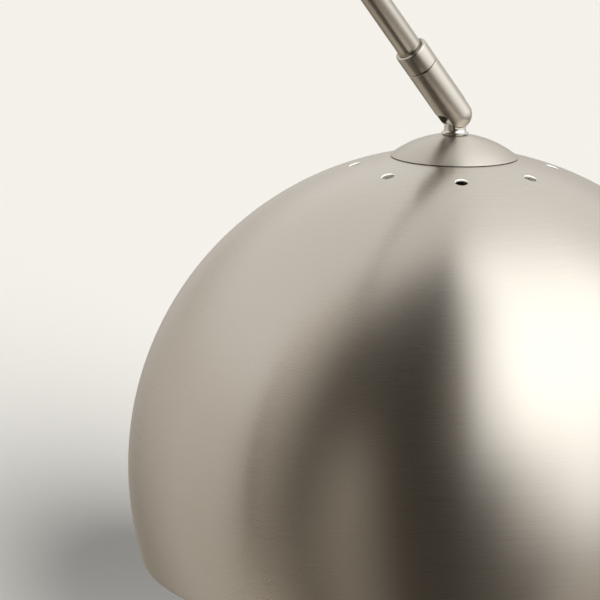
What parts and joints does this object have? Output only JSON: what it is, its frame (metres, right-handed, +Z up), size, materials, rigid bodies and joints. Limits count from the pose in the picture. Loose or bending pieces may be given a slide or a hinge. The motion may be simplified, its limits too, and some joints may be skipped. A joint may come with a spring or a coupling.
{
  "type": "desk lamp",
  "caption": "Friction-jointed architect desk lamp: weighted round base, two-part arm, knuckle joint and a spun dome shade with vent holes and a domed cap.",
  "frame": {"origin": "centre of the base's underside, on the desk", "axes": "+Z up, +X from the base towards the head, the arm in the XZ plane at rest"},
  "size_m": [0.6843, 0.31, 0.726],
  "materials": {
    "shade_nickel": "spun and brushed round its axis, nickel plated, satin; the shade's inside is white enamel",
    "brushed_nickel": "brushed nickel plate on steel",
    "polished_nickel": "bright nickel plate",
    "zinc_steel": "zinc plated steel",
    "cast_iron": "as cast, painted black",
    "brass": "pressed brass",
    "black_plastic": "black moulded plastic",
    "nylon": "natural nylon",
    "ceramic": "white electrical ceramic",
    "opal_glass": "opal white glass",
    "rubber": "black rubber",
    "cord": "black PVC sheath"
  },
  "bodies": {
    "base": {"base_pad": "rubber", "base_weight": "cast_iron", "base_cover": "brushed_nickel", "stem_stud": "zinc_steel", "stem_washer": "zinc_steel", "stem_nut": "zinc_steel", "stem_flange": "polished_nickel", "swivel_ring": "nylon", "cord_grommet": "rubber", "base_lead": "cord", "switch_body": "black_plastic", "switch_bezel": "polished_nickel", "switch_spring": "zinc_steel"},
    "switch_button": {"switch_button": "black_plastic"},
    "turret": {"turret": "brushed_nickel", "turret_screw": "zinc_steel", "tilt_bolt": "polished_nickel", "tilt_washer_near": "nylon", "tilt_washer_far": "nylon"},
    "tilt_knob": {"tilt_knob": "polished_nickel"},
    "lower_arm": {"lower_eye": "brushed_nickel", "lower_tube": "brushed_nickel", "lower_lead": "cord", "lower_block": "brushed_nickel", "elbow_plate_near": "brushed_nickel", "elbow_plate_far": "brushed_nickel", "plate_screw_near_1": "polished_nickel", "plate_screw_near_2": "polished_nickel", "plate_screw_far_1": "polished_nickel", "plate_screw_far_2": "polished_nickel", "elbow_bolt": "polished_nickel", "elbow_washer_near": "nylon", "elbow_washer_far": "nylon"},
    "elbow_knob": {"elbow_knob": "polished_nickel"},
    "upper_arm": {"upper_eye": "brushed_nickel", "upper_tube": "brushed_nickel", "upper_lead": "cord", "collar": "brushed_nickel"},
    "knuckle": {"swivel_body": "brushed_nickel", "swivel_screw": "zinc_steel", "swivel_nipple": "zinc_steel"},
    "head": {"neck": "polished_nickel", "shade_cap": "shade_nickel", "shade": "shade_nickel", "shade_washer": "zinc_steel", "lock_nut": "zinc_steel", "holder_cap": "black_plastic", "holder_body": "black_plastic", "holder_insert": "ceramic", "holder_shell": "brass", "holder_contact": "brass", "head_lead": "cord", "bulb_glass": "opal_glass", "bulb_cap": "zinc_steel", "bulb_insulator": "black_plastic", "bulb_contact": "zinc_steel"}
  },
  "joints": [
    {"name": "switch_press", "type": "slide", "parent": "base", "child": "switch_button", "axis": [0, 0, -1], "range_m": [0, 0.0025], "stiffness_N_per_m": 300, "springref_m": -0.004, "deforming": ["switch_spring"]},
    {"name": "base_swivel", "type": "hinge", "parent": "base", "child": "turret", "pos_m": [0, 0, 0.0326], "axis": [0, 0, 1], "range_deg": [-170, 170]},
    {"name": "tilt_knob_turn", "type": "hinge", "parent": "turret", "child": "tilt_knob", "pos_m": [0, -0.02, 0.078], "axis": [0, -1, 0], "range_deg": [-180, 180]},
    {"name": "lower_arm_tilt", "type": "hinge", "parent": "turret", "child": "lower_arm", "pos_m": [0, 0, 0.078], "axis": [0, 1, 0], "range_deg": [-44, 36]},
    {"name": "elbow_knob_turn", "type": "hinge", "parent": "lower_arm", "child": "elbow_knob", "pos_m": [0.15846, -0.02, 0.71354], "axis": [0, -1, 0], "range_deg": [-180, 180]},
    {"name": "elbow", "type": "hinge", "parent": "lower_arm", "child": "upper_arm", "pos_m": [0.15846, 0, 0.71354], "axis": [0, -1, 0], "range_deg": [-16, 90]},
    {"name": "head_twist", "type": "hinge", "parent": "upper_arm", "child": "knuckle", "pos_m": [0.36659, 0, 0.45926], "axis": [-0.6334, 0, 0.7738], "range_deg": [-170, 170]},
    {"name": "head_tilt", "type": "hinge", "parent": "knuckle", "child": "head", "pos_m": [0.38648, 0, 0.43496], "axis": [0, -1, 0], "range_deg": [-41, 119]}
  ]
}
